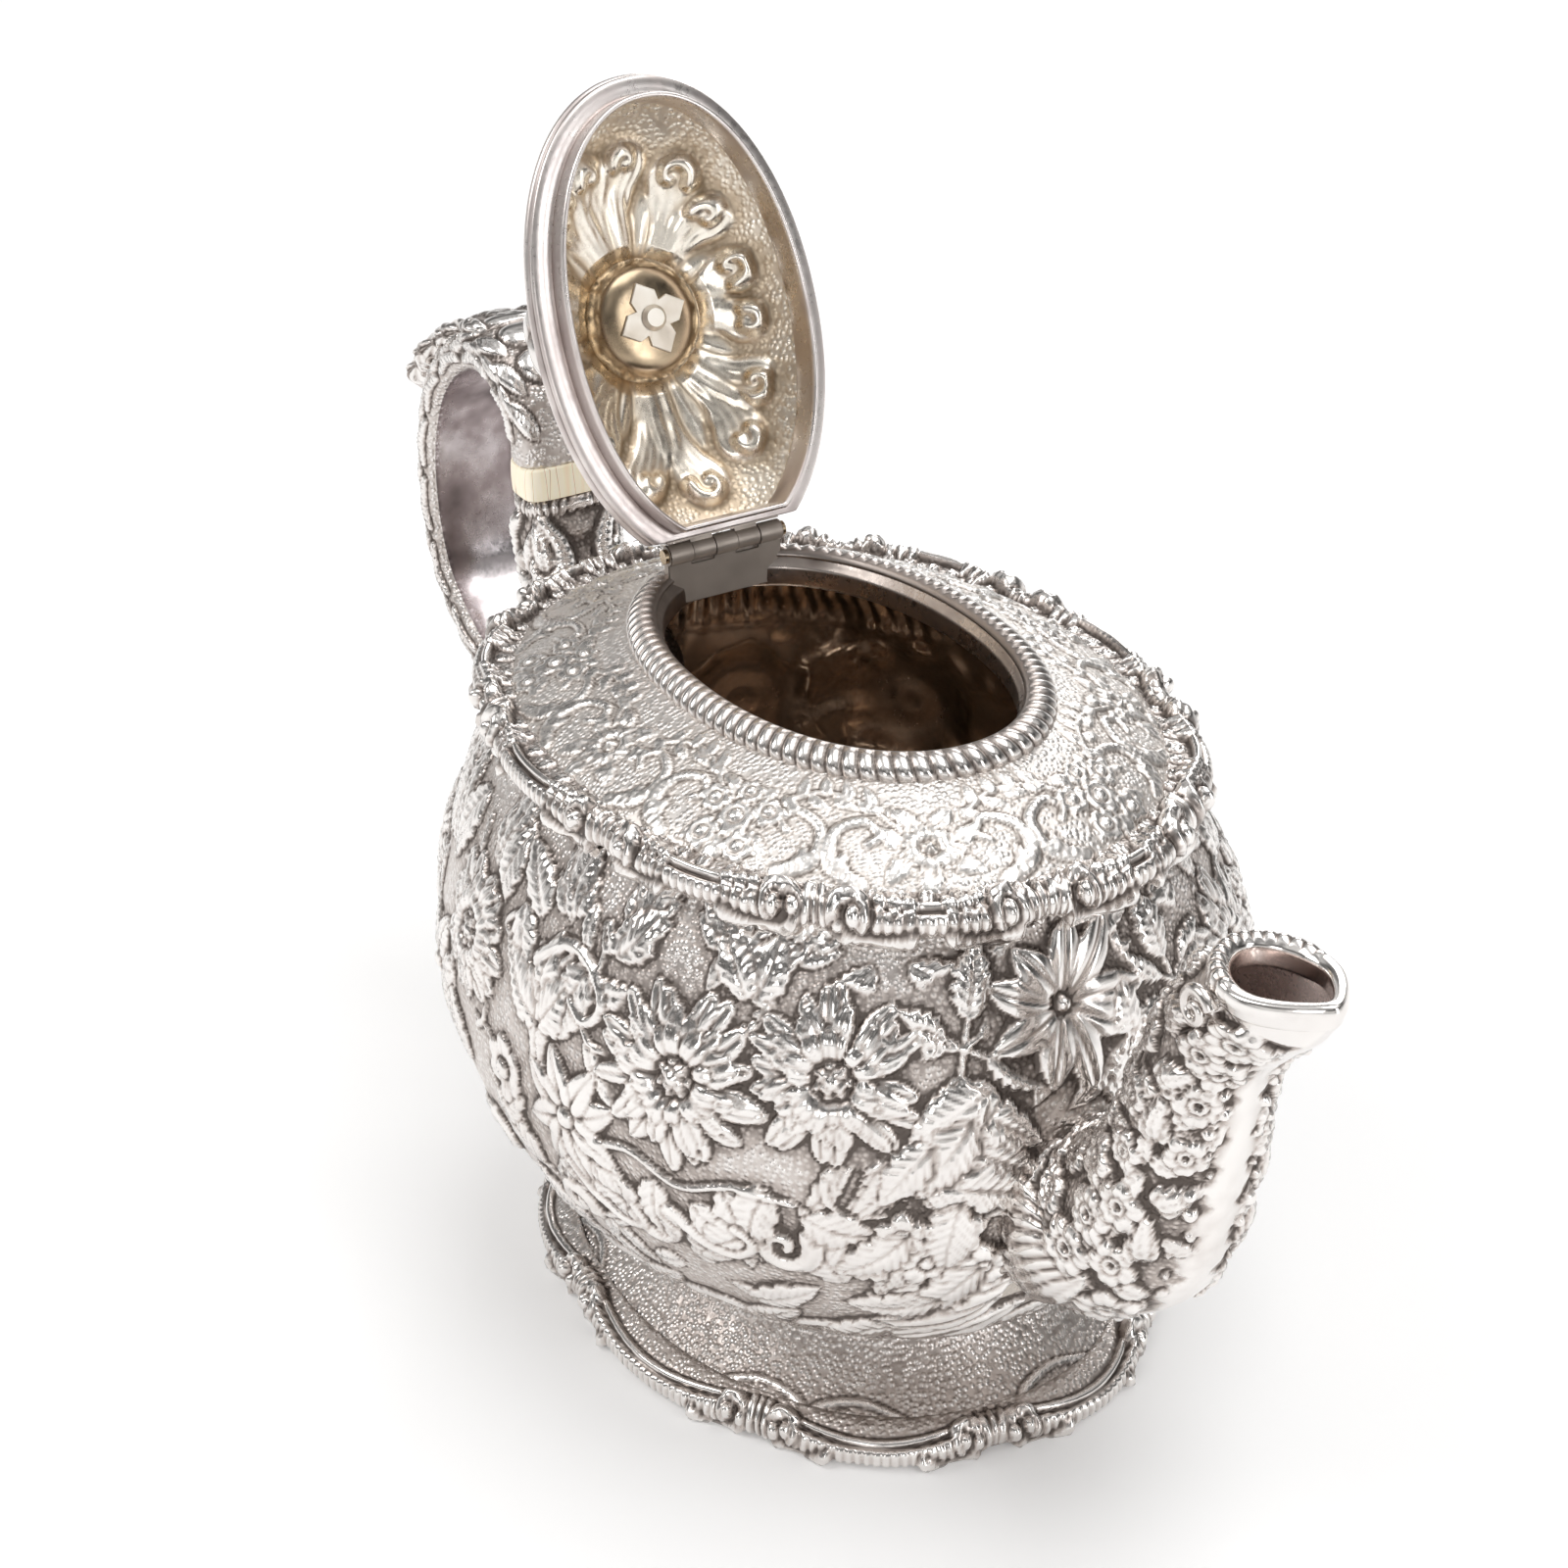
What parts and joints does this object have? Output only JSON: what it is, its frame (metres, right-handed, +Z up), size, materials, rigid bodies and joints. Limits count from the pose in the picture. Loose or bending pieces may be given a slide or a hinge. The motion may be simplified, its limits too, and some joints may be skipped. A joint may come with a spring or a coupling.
{
  "type": "teapot",
  "caption": "Oval silver teapot with repousse flowers, flared foot, swan-neck spout, scrolled handle on ivory insulators and a hinged domed lid standing open.",
  "frame": {"origin": "centre of the foot's resting plane", "axes": "+X towards the spout along the pot's long axis, +Z up, -X towards the handle"},
  "size_m": [0.2891, 0.1284, 0.2009],
  "materials": {
    "silver": "chased and matted, oxidised in the recesses",
    "polished_silver": "polished",
    "worn_silver": "worn satin",
    "bronzed_silver": "tarnished, polished",
    "ivory": "aged, satin"
  },
  "bodies": {
    "pot": {"body_bowl": "silver", "shoulder_plate": "silver", "shoulder_border": "silver", "mouth_bezel": "polished_silver", "mouth_gadroon_ring": "polished_silver", "foot_pedestal": "silver", "foot_border": "silver", "foot_rest_wire": "worn_silver", "spout_tube": "silver", "spout_lip_rim": "silver", "spout_strainer": "worn_silver", "handle_upper_socket": "silver", "handle_upper_insulator": "ivory", "handle_upper_pins": "worn_silver", "handle_grip": "silver", "handle_thumb_leaf": "silver", "handle_lower_insulator": "ivory", "handle_lower_pins": "worn_silver", "handle_lower_socket": "silver", "hinge_pot_leaf": "worn_silver", "hinge_pin": "worn_silver"},
    "lid": {"lid_dome": "silver", "lid_rim": "polished_silver", "lid_flange": "polished_silver", "hinge_lid_leaf": "worn_silver", "finial_cup": "bronzed_silver", "finial_nut": "polished_silver", "finial_stud": "worn_silver", "finial_calyx": "silver", "finial_blossom": "silver"}
  },
  "joints": [
    {"name": "lid_hinge", "type": "hinge", "parent": "pot", "child": "lid", "pos_m": [-0.0357, 0, 0.1258], "axis": [0, 1, 0], "range_deg": [0, 112]}
  ]
}
